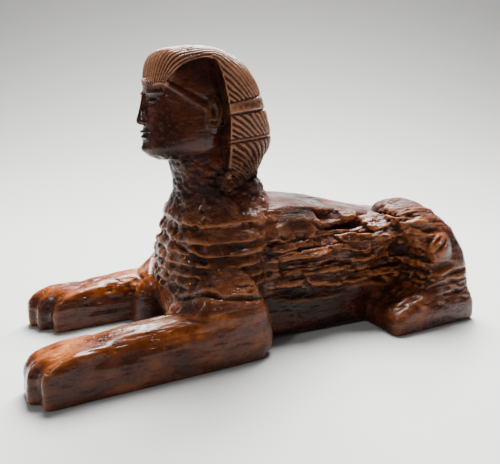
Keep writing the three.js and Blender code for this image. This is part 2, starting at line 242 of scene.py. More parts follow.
def makeHaunch(side):
    def drop(rings, angle):
        if side < 0:
            rings[..., 2] -= haunch["farDrop"] * smooth(20, 69, rings[..., 2])
        return rings
    return levelForm(haunch["stations"], side=side, change=drop)


legs = {
    "middle": 41, "half": 12.4, "toePitch": 8.1,
    "tips": {1: [-125.6, -125.2, -119.6], -1: [-106.5, -114.5, -118.4]},
}


def makeForeleg(side):
    inner, outer = legs["middle"] - legs["half"], legs["middle"] + legs["half"]
    tips = legs["tips"][side]
    stations = [
        [-124.8, inner + 1.4, outer - 1.4, -11, 11.2], [-124, inner + 0.8, outer - 0.8, -11, 15],
        [-119.8, inner + 0.3, outer - 0.3, -11, 19.2], [-111.5, inner, outer, -11, 22.4],
        [-103, inner, outer, -11, 23.4], [-86, inner, outer, -11, 25.9], [-66, inner, outer, -11, 27.3],
        [-45, inner, outer, -11, 28], [-30, inner, outer, -11, 28], [-12, inner, outer - 0.6, -11, 26],
    ]

    def setBack(rings, angle):
        place = np.clip((np.abs(rings[..., 0]) - legs["middle"]) / legs["toePitch"], -1.4, 1.4)
        reach = tips[1] + place * np.where(place < 0, tips[1] - tips[0], tips[2] - tips[1])
        rings[..., 1] += (reach - nearPawTip) * np.clip((-20 - rings[..., 1]) / 80, 0, 1)
        return rings
    return crossForm(stations, power=3.4, below=5, lean=0.1, side=side, change=setBack)


def makeToes(side):
    made = []
    for i, tip in enumerate(legs["tips"][side]):
        middle = legs["middle"] + (i - 1) * legs["toePitch"]
        half = legs["toePitch"] / 2 + 0.6
        stations = [
            [0, middle - half + 0.9, middle + half - 0.9, -11, 11.5],
            [0.9, middle - half + 0.3, middle + half - 0.3, -11, 15.5],
            [5, middle - half, middle + half, -11, 19.6],
            [14, middle - half + 0.1, middle + half - 0.1, -11, 22.8],
            [30, middle - 1.6, middle + 1.6, -11, 23.6],
        ]

        def forward(rings, angle, tip=tip):
            rings[..., 1] += tip
            return rings
        made.append(crossForm(stations, gap=0.5, around=72, power=4.2, below=10, lean=0.04, side=side,
                              change=forward))
    return made


upperArm = {
    "stations": [
        [-8, -62, -18, 18, 52.5], [0, -63, -10, 18, 52.8], [4, -63, -5.6, 18, 53], [9, -62, -4.2, 18, 53.2],
        [19, -59, -5.3, 18, 52.4], [27, -53, -7.6, 18, 51.2], [33, -47, -10.5, 18, 49.5],
        [38, -43, -13, 18, 47.5], [43, -39, -16, 18, 44.5], [47, -36, -19, 18, 41], [50, -34, -21, 18, 37],
    ],
}

face = {
    "half": 20.6,
    "stations": [
        [100.5, -50, -14, -11, 11], [102.3, -54.5, -11, -15.5, 15.5], [105, -57, -9, -18, 18],
        [110, -56.5, -8, -19.8, 19.8], [118, -55.8, -8, -20.6, 20.6], [126, -55.6, -8, -20.6, 20.6],
        [134, -55.4, -8, -20.6, 20.6], [142, -54, -8, -20.4, 20.4], [150, -51, -9, -18.5, 18.5],
    ],
    "chinZ": 103.5,
    "third": 15,
    "eyeBelowBrow": 3.8,
}
ears = {
    "middle": (20.6, -25, 123.5),
    "size": (5.4, 12, 21),
    "lean": -0.18,
}
noseZ = face["chinZ"] + face["third"]
browZ = noseZ + face["third"]
mouthZ = noseZ - face["third"] / 3
eyeZ = browZ - face["eyeBelowBrow"]
fifth = 2 * face["half"] / 5


def makeFeatures():
    # thirds from the head band down to the chin, and fifths across the face
    noseStations = [
        [noseZ - 1, -56, -50, -0.3 * fifth, 0.3 * fifth],
        [noseZ, -59.6, -50, -0.5 * fifth, 0.5 * fifth],
        [noseZ + 2, -60.2, -50, -0.5 * fifth, 0.5 * fifth],
        [noseZ + 5, -59.2, -50, -0.34 * fifth, 0.34 * fifth],
        [browZ - 4, -57.6, -50, -0.24 * fifth, 0.24 * fifth],
        [browZ, -56.8, -50, -0.3 * fifth, 0.3 * fifth],
    ]
    made = [
        levelForm(noseStations, gap=0.4, around=48, power=1.9),
        lump((0, -55.3, mouthZ + 1.1), (1.5 * fifth, 6.4, 2.4)),
        lump((0, -55, mouthZ - 1.6), (1.25 * fifth, 6.2, 2.6)),
        lump((0, -53.5, face["chinZ"] + 2.6), (1.4 * fifth, 9.6, 6)),
    ]
    for side in (-1, 1):
        made.append(lump((side * fifth * 1.02, -53, eyeZ), (fifth, 4.4, 3.4), (0, side * 0.42)))
        made.append(lump((side * fifth * 1.15, -53, browZ + 0.3), (1.7 * fifth, 4, 1.9), (0, side * 0.4)))
        made.append(lump((side * fifth * 2.12, -44.5, browZ - 3.6), (2.4, 11, 1.8), (-0.32, side * -0.34)))
        x, y, z = ears["middle"]
        made.append(lump((side * x, y, z), ears["size"], (ears["lean"], 0)))
    return made


headBand = {
    # place from front to back, lower edge
    "lower": [[-60, 140], [-52, 138.4], [-44, 133], [-36, 127.4], [-25, 121.6], [-8, 119]],
    # share of the height, front, back, sides
    "shape": [[0, -54.4, -8, -20.6, 20.6], [0.5, -53, -8, -20.9, 20.9], [1, -49.5, -9, -19.2, 19.2]],
    # share of the height, how far the cloth stands off the head
    "proud": [[0, -0.6], [0.03, 1.1], [0.14, 1.3], [0.2, 0.1], [0.24, 0.0], [0.29, 0.6],
              [0.55, 0.4], [1, -1.6]],
    "top": 151.5,
    "power": 2.35,
}


def makeHeadBand():
    # plain cloth about the temples, its lower edge running down from the brow to the ears
    lower, shape, proud = (between(headBand[name]) for name in ("lower", "shape", "proud"))
    share = np.linspace(0, 1, 70)
    front, back, inner, outer = (column[:, None] for column in shape(share))
    out = proud(share)[0][:, None]
    angle = np.linspace(0, 2 * np.pi, 160, endpoint=False)[None, :]
    x = (outer + out) * rounded(np.sin(angle), headBand["power"])
    y = (front + back) / 2 - ((back - front) / 2 + out) * rounded(np.cos(angle), headBand["power"])
    low = lower(y.ravel())[0].reshape(y.shape)
    z = low + share[:, None] * (headBand["top"] - low)
    return skin(np.stack([x, y, z], axis=-1))


headcloth = {
    "stations": [
        # order, outer y and z, edge x, y and z
        [0, -54.4, 137.5, 15.5, -50, 137.6], [1, -54, 143.5, 18.2, -47.6, 141.2],
        [2, -52.6, 150, 20.4, -44.4, 144.6], [3, -48.8, 154.6, 21.4, -41, 147.3],
        [4, -41.5, 156.6, 22.3, -36.3, 149.3], [5, -31, 157.8, 23.2, -29.6, 150.6],
        [6, -17, 156.2, 24.4, -25.6, 149.2], [7, -4.2, 150.3, 26.2, -23, 142],
        [8, 3.4, 142, 27.6, -21.6, 134], [9, 8, 132, 28.4, -20.6, 127],
        [10, 11.6, 122, 28.5, -20, 118.5], [11, 14.2, 113, 28, -20, 109.5],
        [12, 13.6, 106, 26.2, -19.5, 102], [13, 9.4, 99, 23.6, -18.6, 95.5],
        [14, 7.4, 91, 20, -16.5, 88],
    ],
    "power": 2.3,
    "stripes": 20,
    "depth": 1.15,
    "bands": [(8.78, 9.5), (10.86, 11.08)],
    # order, share of the half turn that the first stripes fill; they draw together towards the nape
    "fill": [[0, 1], [4.5, 1], [6.5, 0.86], [8.78, 0.62], [8.79, 0.95], [9.6, 0.92], [10.86, 0.68],
             [10.87, 0.95], [11.1, 0.9], [14, 0.5]],
}


def makeHeadcloth():
    orders = np.linspace(0, 14, 420)
    shares = np.linspace(-1, 1, 360)
    columns = between(headcloth["stations"])(orders)
    outerY, outerZ, edgeX, edgeY, edgeZ = (column[:, None] for column in columns)
    angle = (np.pi / 2) * shares[None, :]
    bow = rounded(np.cos(angle), headcloth["power"])
    x = edgeX * rounded(np.sin(angle), headcloth["power"])
    y = edgeY + (outerY - edgeY) * bow
    z = edgeZ + (outerZ - edgeZ) * bow
    rings = np.stack(np.broadcast_arrays(x, y, z), axis=-1)
    orderOfEach = np.repeat(orders, len(shares))
    shareOfEach = np.tile(shares, len(orders))
    headcloth["places"] = (rings.reshape(-1, 3), orderOfEach, shareOfEach)
    return skin(rings)


def stripeDepth(points, order, share):
    # grooves run back from the brow, draw together towards the nape, and stop at the plain bands
    table = np.array(headcloth["fill"], float)
    fill = np.interp(order, table[:, 0], table[:, 1])
    wander = 0.2 * softNoise(points, 7, 4) + 0.08 * softNoise(points, 2.6, 5)
    phase = (share / fill * headcloth["stripes"] / 2 + wander + 0.5) % 1
    cut = smooth(0.3, 0.9, np.abs(phase - 0.5) * 2) * (1 + 0.3 * softNoise(points, 5, 6))
    plain = np.maximum(smooth(0.978, 0.992, np.abs(share)), 1 - smooth(0.0, 0.3, order))
    line = np.zeros(len(points))
    for start, end in headcloth["bands"]:
        plain = np.maximum(plain, smooth(start - 0.03, start, order) * (1 - smooth(end - 0.03, end, order)))
        line = np.maximum(line, np.exp(-(((order - end) / 0.06) ** 2)))
        line = np.maximum(line, 0.5 * np.exp(-(((order - start) / 0.05) ** 2)))
    return headcloth["depth"] * np.maximum(cut * (1 - plain), 1.1 * line)


def buildBlock():
    forms = [makeBust(), makeTrunk(), makeFeatures(), makeHeadBand(), makeHeadcloth()]
    forms.append(levelForm(face["stations"], gap=0.8, around=140, power=2.35))
    for side in (1, -1):
        forms += [makeHaunch(side), makeForeleg(side), makeToes(side)]
        forms.append(levelForm(upperArm["stations"], power=4.6, side=side))
    shells = []
    for form in forms:
        shells += form if isinstance(form, list) else [form]
    points, faces, count = [], [], 0
    for shellPoints, shellFaces in shells:
        shellPoints = shellPoints.copy()
        shellPoints[:, 2] = np.maximum(shellPoints[:, 2], 0)
        points.append(shellPoints)
        faces += [[count + i for i in corners] for corners in shellFaces]
        count += len(shellPoints)
    mesh = bpy.data.meshes.new("sphinx")
    mesh.from_pydata(toFrame(np.concatenate(points)).tolist(), [], faces)
    piece = bpy.data.objects.new("carved_sphinx", mesh)
    bpy.context.collection.objects.link(piece)
    print("block:", len(shells), "forms,", len(faces), "faces")
    return piece


def applyModifier(piece, kind, **settings):
    bpy.context.view_layer.objects.active = piece
    piece.select_set(True)
    modifier = piece.modifiers.new(kind.lower(), kind)
    for name, value in settings.items():
        setattr(modifier, name, value)
    bpy.ops.object.modifier_apply(modifier=modifier.name)
    piece.select_set(False)


carving = {
    "voxel": 0.5,
    "triangles": 192000,
}

# Tools that work on the points of the fine mesh

class Surface:
    # the points in grid squares, their normals and the edges between them
    def __init__(self, piece):
        self.mesh = piece.data
        flat = np.empty(3 * len(self.mesh.vertices))
        self.mesh.vertices.foreach_get("co", flat)
        self.points = flat.reshape(-1, 3) / square + gridMiddle
        ends = np.empty(2 * len(self.mesh.edges), np.int32)
        self.mesh.edges.foreach_get("vertices", ends)
        self.ends = ends.reshape(-1, 2)
        self.degree = np.bincount(self.ends.ravel(), minlength=len(self.points)).astype(float)[:, None]

    def write(self):
        self.mesh.vertices.foreach_set("co", toFrame(self.points).ravel())
        self.mesh.update()

    def normals(self):
        self.write()
        flat = np.empty(3 * len(self.mesh.vertices))
        self.mesh.vertex_normals.foreach_get("vector", flat)
        return flat.reshape(-1, 3)

    def average(self, values):
        total = np.zeros_like(values)
        a, b = self.ends[:, 0], self.ends[:, 1]
        for k in range(values.shape[1]):
            total[:, k] = np.bincount(a, values[b, k], len(values))
            total[:, k] += np.bincount(b, values[a, k], len(values))
        return total / np.maximum(self.degree, 1)

    def relax(self, mask, rounds):
        # evens out only the points under the mask
        chosen = np.nonzero(mask > 0.02)[0]
        order = np.full(len(self.points), -1)
        order[chosen] = np.arange(len(chosen))
        a, b = self.ends[(order[self.ends] >= 0).any(axis=1)].T
        first, second = order[a] >= 0, order[b] >= 0
        here = np.concatenate([order[a[first]], order[b[second]]])
        there = np.concatenate([b[first], a[second]])
        pull = 0.6 * mask[chosen, None] / self.degree[chosen]
        for _ in range(rounds):
            near = self.points[there]
            total = np.stack([np.bincount(here, near[:, k], len(chosen)) for k in range(3)], axis=1)
            self.points[chosen] += pull * (total - self.degree[chosen] * self.points[chosen])

    def push(self, amount):
        self.points += self.normals() * np.asarray(amount)[:, None]


def nearPath(points, path):
    # distance of every point from a line through the given places
    path = np.array(path, float)
    best = np.full(len(points), 1e9)
    for a, b in zip(path[:-1], path[1:]):
        along = np.clip(((points - a) @ (b - a)) / max(1e-9, (b - a) @ (b - a)), 0, 1)
        best = np.minimum(best, np.linalg.norm(points - a - along[:, None] * (b - a), axis=1))
    return best


def groove(points, path, width):
    # 1 on the middle of a cut that follows the path, falling to 0 at its sides
    return 1 - smooth(0.1, 1, nearPath(points, path) / (width / 2))


def within(points, middle, size, tilt=0.0):
    # 1 in the middle of a rounded place of three sizes, falling to 0 at its rim
    local = np.array(points) - np.array(middle)
    x, y, z = local.T
    y, z = y * math.cos(tilt) + z * math.sin(tilt), z * math.cos(tilt) - y * math.sin(tilt)
    return np.clip(1 - (2 * x / size[0]) ** 2 - (2 * y / size[1]) ** 2 - (2 * z / size[2]) ** 2, 0, 1)


def onBothSides(points, middle, size):
    x, y, z = middle
    return within(points, (x, y, z), size) + within(points, (-x, y, z), size)


def crumble(points, layer, size):
    # ragged small relief: pits are deeper than bumps are high
    grain = softNoise(points, size * 2.1, layer) + 0.7 * softNoise(points, size, layer + 1)
    return np.where(grain > 0, 0.6 * grain, 1.15 * grain)


def keepNearest(points):
    tree = kdtree.KDTree(len(points))
    for i, spot in enumerate(points):
        tree.insert(spot, i)
    tree.balance()
    return tree


block = buildBlock()
applyModifier(block, "REMESH", mode="VOXEL", voxel_size=carving["voxel"] * square, use_smooth_shade=True)
print("remeshed:", len(block.data.polygons), "faces")
surface = Surface(block)


def regionMasks(points):
    x, y, z = points.T
    wide = np.abs(x)
    uneven = 2.5 * softNoise(points * [1, 1, 0], 13, 50)
    y = y + 4.5 * softNoise(points * [0.3, 0.3, 1], 9, 51)
    arm = smooth(-60, -50, y) * (1 - smooth(-4, 2, y)) * (1 - smooth(44, 52, z + 0.6 * (wide - 40)))
    arm = arm * smooth(34, 41, wide + 0.25 * (40 - z)) * (1 - smooth(31, 37, z + uneven))
    flankLength = smooth(-8, 6, y) * (1 - smooth(94, 104, y))
    collarLength = (1 - smooth(4, 14, y)) * smooth(-66, -52, y)
    return {
        "flank": flankLength * smooth(22, 29, z + uneven) * smooth(19, 28, wide),
        "crest": smooth(76, 86, points[:, 1]) * smooth(50, 57, points[:, 2]),
        "belowShoulder": 1 - 0.75 * ((1 - smooth(24, 44, y)) * smooth(56, 62, z)),
        "neck": smooth(74, 82, z) * (1 - smooth(101, 106, z)) * (1 - smooth(0, 14, y)),
        "collar": smooth(27, 31, z) * (1 - smooth(74, 80, z)) * collarLength * (1 - arm),
        "face": smooth(99, 103, z) * (1 - smooth(-34, -27, y)) * (1 - smooth(134, 140, z)),
        "head": smooth(90, 96, z),
        "legs": (1 - smooth(-34, -18, y)) * (1 - smooth(28, 31, z)),
        "hips": smooth(92, 100, y) * smooth(24, 34, wide) * smooth(14, 18, z),
        "foot": smooth(62, 68, y) * smooth(36, 40, wide) * (1 - smooth(26, 32, z)),
    }


planks = {
    "low": 21, "rowHeight": 6.1, "rows": 11,
    "shortest": 7, "longest": 34, "deepest": 4.0,
    "starts": -22,
}


def plankDepth(points):
    # short level strips, each cut back by its own amount, as a carver's flat gouge leaves them
    sheet = points * [0, 1, 1]
    wander = 2.6 * softNoise(sheet * [1, 0.5, 1], 11, 20) + 0.5 * softNoise(sheet * [1, 0.5, 1], 3, 21)
    level = (points[:, 2] - planks["low"] + wander) / planks["rowHeight"]
    row = np.clip(np.floor(level), 0, planks["rows"]).astype(int)
    part = level - np.floor(level)
    place = points[:, 1] + 1.3 * softNoise(points, 2.6, 22) + 3.5 * (part - 0.5)
    depth = np.zeros(len(points))
    for side in (1, -1):
        for r in range(planks["rows"] + 1):
            lengths = chance.uniform(planks["shortest"], planks["longest"], 14)
            ends = planks["starts"] + np.cumsum(lengths) - chance.uniform(0, 20)
            inset = planks["deepest"] * chance.uniform(0, 1, len(ends) + 1) ** 1.6
            slope = chance.uniform(-1.2, 0.6, len(ends) + 1)
            places = np.sort(np.concatenate([ends - 0.8, ends + 0.8]))
            here = (row == r) & (side * points[:, 0] > 0)
            back = np.interp(place[here], places, np.repeat(inset, 2)[1:-1])
            lean = np.interp(place[here], places, np.repeat(slope, 2)[1:-1])
            ledge = 1.2 * (1 - smooth(0.02, 0.2, part[here])) + 1.0 * smooth(0.3, 1.0, part[here])
            depth[here] = np.maximum(0, back * (1 + lean * (part[here] - 0.5)) + ledge)
    return depth


# Cuts and swellings that show one by one: place, size, depth (below 0 stands proud), tilt
flankFeatures = [
    ((33, 19, 61), (14, 24, 14), 2.6, 0.16), ((35, 39, 57), (14, 22, 11), 2.3, 0.1),
    ((33, 57, 53), (12, 25, 8), 1.6, 0.02), ((30, 50, 62), (12, 36, 5), 2.6, 0.06),
    ((37, 15, 41), (14, 21, 13), 3.4, 0.04),
    ((37, 32, 46.5), (9, 22, 6), -2.2, 0.06), ((38, 42, 37), (8, 38, 4.4), -1.8, 0.03),
    ((36, 64, 46), (9, 40, 5), -2.0, 0.05), ((37, 60, 31), (9, 24, 6), 2.0, 0.12),
    ((38, 76, 34), (18, 26, 15), 2.8, 0.35), ((44, 87, 41), (18, 18, 12), 1.2, 0.5),
    ((40, 88, 27.5), (11, 8, 6), -2.6, 0.3), ((50, 97, 25), (14, 24, 5), -2.2, -0.25),
    ((48, 91, 33), (16, 22, 5), 1.6, -0.1),
]
haunchFeatures = [
    ((54, 103, 47), (28, 22, 24), -3.6, 0.0), ((53, 92.5, 48), (18, 8, 20), 1.7, -0.3),
    ((57, 102, 35), (18, 24, 7), 2.6, 0.1), ((46, 92, 61), (18, 34, 8), -1.6, -0.22),
    ((49, 98, 57), (18, 24, 5.5), 2.2, -0.3), ((58, 114, 31), (14, 26, 4), 1.1, 0.12),
    ((60, 110, 25.5), (14, 30, 3.4), 1.0, 0.04), ((61, 114, 19.5), (14, 28, 3), 0.8, 0.06),
    ((55, 98, 52), (14, 12, 3), 1.3, 0.6), ((57, 101, 50.5), (14, 12, 2.8), 1.2, 0.6),
    ((58, 104, 48.5), (14, 12, 2.8), 1.1, 0.6), ((58, 100, 45.5), (14, 10, 2.6), 0.9, 0.6),
]


def cutFeatures(points, features, sides):
    depth = np.zeros(len(points))
    for side in sides:
        for middle, size, cut, tilt in features:
            x, y, z = middle
            if side < 0 and z > 20:
                z -= haunch["farDrop"] * float(smooth(20, 69, z)) * float(smooth(70, 90, y))
            share = within(points, (side * x, y, z), size, tilt)
            depth += cut * (share if cut > 0 else share ** 1.6)
    return depth


def evenOut(surface, masks):
    # the forms run into each other, and the paws, the nape and the seam behind the shoulders are smoothed
    surface.relax(masks["face"] + 0.4 * masks["legs"], 3)
    surface.relax((1 - masks["collar"]) * (1 - masks["head"]), 18)
    x, y, z = surface.points.T
    seam = smooth(-6, 2, y) * (1 - smooth(16, 26, y)) * smooth(24, 30, z) * (1 - smooth(92, 98, z))
    surface.relax(seam, 30)
    surface.relax(0.9 * (1 - smooth(-112, -98, y)), 22)
    surface.relax(onBothSides(surface.points, (27, -18, 91), (18, 26, 20)), 14)


# How far each kind of stroke stands up or goes in, in grid squares
strokes = {
    "wave": 0.55, "ripple": 0.32, "knife": 0.26, "legTop": 0.34, "back": 0.7,
    "collar": 0.85, "neck": 0.75, "nape": 0.8, "ears": 0.7, "bark": 1.2, "footTop": 0.6, "crest": 0.45,
    "wornEdge": 0.9, "elbowLift": 1.5,
}


def addWaves(surface, masks):
    # nothing cut by hand is true: long soft waves run over the body and the legs
    points = surface.points
    body = (1 - masks["head"]) * smooth(0.5, 4, points[:, 2])
    wave = strokes["wave"] * softNoise(points, 19, 10) + strokes["ripple"] * softNoise(points, 8, 11)
    knife = strokes["knife"] * softNoise(points * [1, 0.16, 1], 3.2, 12)
    legTop = strokes["legTop"] * masks["legs"] * crumble(points * [1, 0.14, 1], 14, 1.1)
    legTop = legTop * smooth(8, 20, points[:, 2])
    back = smooth(2, 12, points[:, 1]) * smooth(60, 65, points[:, 2]) * (1 - masks["head"])
    stroke = strokes["back"] * back * softNoise(points * [1, 0.22, 0.3], 4.4, 16)
    surface.push((wave + knife + stroke) * body + legTop)


def cutFlanks(surface, masks):
    # strips and hollows cut into the flanks and about the thighs
    points = surface.points.copy()
    thigh = (1 - 0.8 * masks["hips"]) * (1 - 0.85 * masks["crest"])
    depth = plankDepth(points) * masks["flank"] * thigh * masks["belowShoulder"]
    depth += cutFeatures(points, flankFeatures + haunchFeatures, (1, -1)) * smooth(8, 12, points[:, 2])
    surface.push(-depth)


def roughen(surface, masks):
    # splinters along the grain of the flanks and feet, and a crumbled skin on the collar, neck and ears
    points = surface.points.copy()
    splinter = crumble(points * [1, 0.24, 1], 30, 1.2)
    rough = crumble(points * [0.7, 0.7, 1.1], 33, 1.6)
    strand = softNoise(turned(points, (0.45, 0)) * [1, 0.14, 1], 2.4, 60)
    patchy = 0.35 + 0.65 * smooth(-0.2, 0.4, softNoise(points, 9, 36))
    earSkin = onBothSides(points, (20.6, -25.5, 123), (12, 14, 26))
    bark = within(points, (-31, -64, 22), (14, 30, 18))
    footTop = masks["foot"] * (0.25 + smooth(12, 16, points[:, 2]))
    nape = smooth(78, 84, points[:, 2]) * (1 - smooth(93, 103, points[:, 2]))
    nape = nape * smooth(-30, -22, points[:, 1])
    height = (0.6 * splinter + 0.4 * rough) * masks["flank"] * masks["belowShoulder"]
    crest = strokes["crest"] * splinter * masks["crest"]
    height += (0.4 * splinter + strokes["footTop"] * strand) * footTop + crest
    throat = strokes["collar"] * masks["collar"] * patchy + strokes["neck"] * masks["neck"]
    height += rough * (throat + strokes["nape"] * nape)
    height += rough * (strokes["ears"] * earSkin + strokes["bark"] * bark)
    surface.push(height)


chest = {
    # places along each line on the near side, its width, and its depth (below 0 stands proud)
    "lines": [
        ([(10, -44, 66), (14, -47, 58), (26, -43, 54), (33, -37, 50)], 4.5, 1.4),
        ([(24, -20, 92), (27, -20, 80), (29, -18, 70)], 9, -1.8),
        ([(52, -46, 27), (46, -52, 27), (36, -55, 27), (28, -54, 26)], 4, 0.9),
    ],
    "ledge": [(25, -50, 31), (36, -46, 36), (45, -41, 38), (50, -34, 36.5), (50, -21, 34.5), (49, -8, 33)],
    # how far each ledge lies above the lowest, and its depth
    "ledges": [(0, 2.1), (6, 1.8), (11, 1.2)],
    "ledgeWidth": 5,
    "lipAbove": 3.2,
    "lip": 0.9,
    "lumps": 1.1,
}


def cutChest(surface, masks):
    # the lappets and their edges, the ledges over the elbows, and lumps on the front of the collar
    points = surface.points.copy()
    depth = np.zeros(len(points))
    for side in (1, -1):
        for line, width, cut in chest["lines"]:
            depth += cut * groove(points, [(side * x, y, z) for x, y, z in line], width)
        for rise, cut in chest["ledges"]:
            path = []
            for x, y, z in chest["ledge"]:
                path.append((side * (x - 0.35 * rise), y, z + rise + 0.5 * math.sin(y)))
            lip = [(x, y, z + chest["lipAbove"]) for x, y, z in path]
            depth += cut * groove(points, path, chest["ledgeWidth"])
            depth -= chest["lip"] * groove(points, lip, chest["ledgeWidth"])
    front = masks["collar"] * (1 - smooth(-44, -34, points[:, 1]))
    depth -= chest["lumps"] * front * softNoise(points * [1, 1, 0.7], 4.6, 40)
    surface.push(-depth)


def cutStripes(surface):
    # each point near the headcloth takes its order and share from the cloth's nearest place
    points = surface.points.copy()
    clothPoints, orders, shares = headcloth["places"]
    tree = keepNearest(clothPoints)
    chosen = np.nonzero(points[:, 2] > 84)[0]
    found = [tree.find(points[i]) for i in chosen]
    reach = np.array([far for spot, k, far in found])
    k = np.array([k for spot, k, far in found])
    depth = np.zeros(len(points))
    depth[chosen] = stripeDepth(points[chosen], orders[k], shares[k]) * (1 - smooth(0.8, 1.6, reach))
    surface.push(-depth)


def wearBottom(surface):
    # the bottom edges are worn round, and the elbows stand a little off the table
    points = surface.points
    upright = 1 - np.abs(surface.normals()[:, 2])
    surface.push(-strokes["wornEdge"] * (1 - smooth(0, 2, points[:, 2])) ** 2 * upright)
    x, y, z = surface.points.T
    lift = strokes["elbowLift"] * smooth(-44, -26, y) * (1 - smooth(-4, 2, y)) * smooth(33, 37, np.abs(x))
    surface.points[:, 2] = np.maximum(z, lift)


def carve(surface):
    masks = regionMasks(surface.points)
    evenOut(surface, masks)
    addWaves(surface, masks)
    masks = regionMasks(surface.points)
    cutFlanks(surface, masks)
    roughen(surface, masks)
    cutChest(surface, masks)
    surface.relax(0.8 * (1 - masks["head"]), 1)
    cutStripes(surface)
    wearBottom(surface)


def engrave(surface):
    # fine lines of the face and the ears, from the same thirds and fifths
    points = surface.points.copy()
    ahead = points[:, 1] < -40
    sheet = points * [1, 0, 1]
    depth = np.zeros(len(points))
    for side in (1, -1):
        share = np.linspace(-1, 1, 9)
        upper = [(side * fifth * (1.05 + 0.56 * t), 0, eyeZ + 1.7 * (1 - t * t)) for t in share]
        lower = [(side * fifth * (1.05 + 0.5 * t), 0, eyeZ - 1.4 * (1 - t * t)) for t in share]
        socket = [(side * fifth * (0.42 + 0.2 * t), 0, eyeZ + 2.6 * (t - 0.2)) for t in share]
        for path, width, cut in ((upper, 1.3, 0.55), (lower, 1.2, 0.4), (socket, 3.0, 0.7)):
            depth += ahead * cut * groove(sheet, path, width)
        nostril = (side * fifth * 0.3, 0, noseZ + 0.4)
        depth += ahead * 0.7 * groove(sheet, [nostril, nostril], 1.8)
        helix = []
        for t in np.linspace(0.3, 3.6, 12):
            helix.append((side * 23, -26.5 + 3.1 * math.sin(t), 125.5 + 6.2 * math.cos(t)))
        depth += 1.0 * groove(points, helix, 2.0) * (np.abs(points[:, 0]) > 18)
        depth += 2.2 * within(points, (side * 23.6, -26.5, 125), (5, 4.6, 7))
    lips = [(t * fifth * 0.8, 0, mouthZ - 0.2 + 0.5 * t * t) for t in np.linspace(-1, 1, 9)]
    depth += ahead * 0.6 * groove(sheet, lips, 1.3)
    surface.push(-depth * (points[:, 2] > 104) * (points[:, 2] < 136))


carve(surface)
engrave(surface)
surface.points[:, 2] = np.maximum(surface.points[:, 2], 0)
surface.write()
print("carved")


def measureHollows(surface):
    # how far each point lies in a hollow or on a ridge, at two scales
    normals = surface.normals()
    spread = surface.points.copy()
    fine = None
    for turn in range(40):
        spread = spread + 0.7 * (surface.average(spread) - spread)
        if turn == 7:
            fine = np.einsum("ij,ij->i", spread - surface.points, normals)
    broad = np.einsum("ij,ij->i", spread - surface.points, normals)
    return fine, broad


def colourMasks(points, normals):
    # where the stain, the wear and the gloss differ, from 0 to 1
    masks = regionMasks(points)
    # forward-facing points of the headcloth's wing take the darker colour beneath instead of the cloth's:
    # partly stain, partly painted shade on the front step
    ahead = smooth(0.4, 0.75, -normals[:, 1])
    x, y, z = points.T
    clothPoints, orders, shares = headcloth["places"]
    tree = keepNearest(clothPoints)
    cloth, rim = np.zeros(len(points)), np.zeros(len(points))
    for i in np.nonzero(z > 84)[0]:
        spot, k, far = tree.find(points[i])
        if far < 2.2:
            cloth[i] = 1 - ahead[i] * smooth(4.4, 5.2, orders[k])
            rim[i] = smooth(0.99, 0.999, abs(shares[k])) * smooth(4.2, 5.0, orders[k]) * cloth[i]
            rim[i] *= 1 - 0.8 * smooth(9.5, 11.5, orders[k])
    earSkin = onBothSides(points, (22, -25.5, 123), (10, 16, 30))
    uneven = softNoise(points, 9, 72)
    # the legs are stained amber; their upper parts are painted lighter as a painted highlight where light
    # falls on their tops
    upperLeg = smooth(15, 23, z) * (1 - 0.6 * smooth(-58, -40, y))
    belly = smooth(-10, 4, y) * (1 - smooth(76, 100, y + 6 * softNoise(points, 12, 73)))
    return {
        "cloth": cloth * smooth(86, 92, z),
        "rim": rim,
        "ears": smooth(0.0, 0.4, earSkin) * (1 - cloth),
        "amber": np.clip(masks["legs"] * (0.25 + 0.85 * upperLeg), 0, 1),
        # the face takes a darker stain; on the neck the darkening is partly its dark crust and partly painted
        # shade under the chin
        "dark": np.clip(masks["neck"] + 0.75 * smooth(99, 103, z) * (1 - cloth), 0, 1),
        "tail": cloth * (1 - smooth(102, 124, z + 4 * softNoise(points, 9, 71))),
        "low": belly * (1 - smooth(20, 30, z + 4 * uneven)) * (1 - masks["foot"]),
        # painted shade: the top of the back is darkened in colour where the lights fall on it, and its
        # lacquer is duller
        "worn": smooth(0, 12, y) * smooth(60, 66, z) * (1 - cloth),
        "rough": np.clip(masks["flank"] + masks["collar"] + masks["neck"] + 0.5 * masks["hips"], 0, 1),
    }


fineHollow, broadHollow = measureHollows(surface)
dense = keepNearest(surface.points)
applyModifier(block, "DECIMATE", ratio=min(1.0, carving["triangles"] / (2 * len(block.data.polygons))))
print("thinned:", len(block.data.polygons), "faces")
kept = Surface(block)
nearest = np.array([dense.find(spot)[1] for spot in kept.points])
layers = colourMasks(kept.points, kept.normals())
layers = {"fineHollow": fineHollow[nearest], "broadHollow": broadHollow[nearest], **layers}
for name, values in layers.items():
    layer = block.data.attributes.new(name, "FLOAT", "POINT")
    layer.data.foreach_set("value", values.astype(np.float32))
print("coloured")

bpy.ops.object.select_all(action="DESELECT")
block.select_set(True)
bpy.context.view_layer.objects.active = block
bpy.ops.object.shade_smooth()
block.select_set(False)


# Shader maths as expressions

class Socket:
    def __init__(self, tree, socket):
        self.tree, self.socket = tree, socket

    def maths(self, operation, other=None, swap=False):
        node = self.tree.nodes.new("ShaderNodeMath")
        node.operation = operation
        values = [self, other] if not swap else [other, self]
        for place, value in zip(node.inputs, values):
            if isinstance(value, Socket):
                self.tree.links.new(value.socket, place)
            elif value is not None:
                place.default_value = value
        return Socket(self.tree, node.outputs[0])

    def __add__(self, other):
        return self.maths("ADD", other)

    def __radd__(self, other):
        return self.maths("ADD", other)

    def __sub__(self, other):
        return self.maths("SUBTRACT", other)

    def __rsub__(self, other):
        return self.maths("SUBTRACT", other, swap=True)

    def __mul__(self, other):
        return self.maths("MULTIPLY", other)

    def __rmul__(self, other):
        return self.maths("MULTIPLY", other)


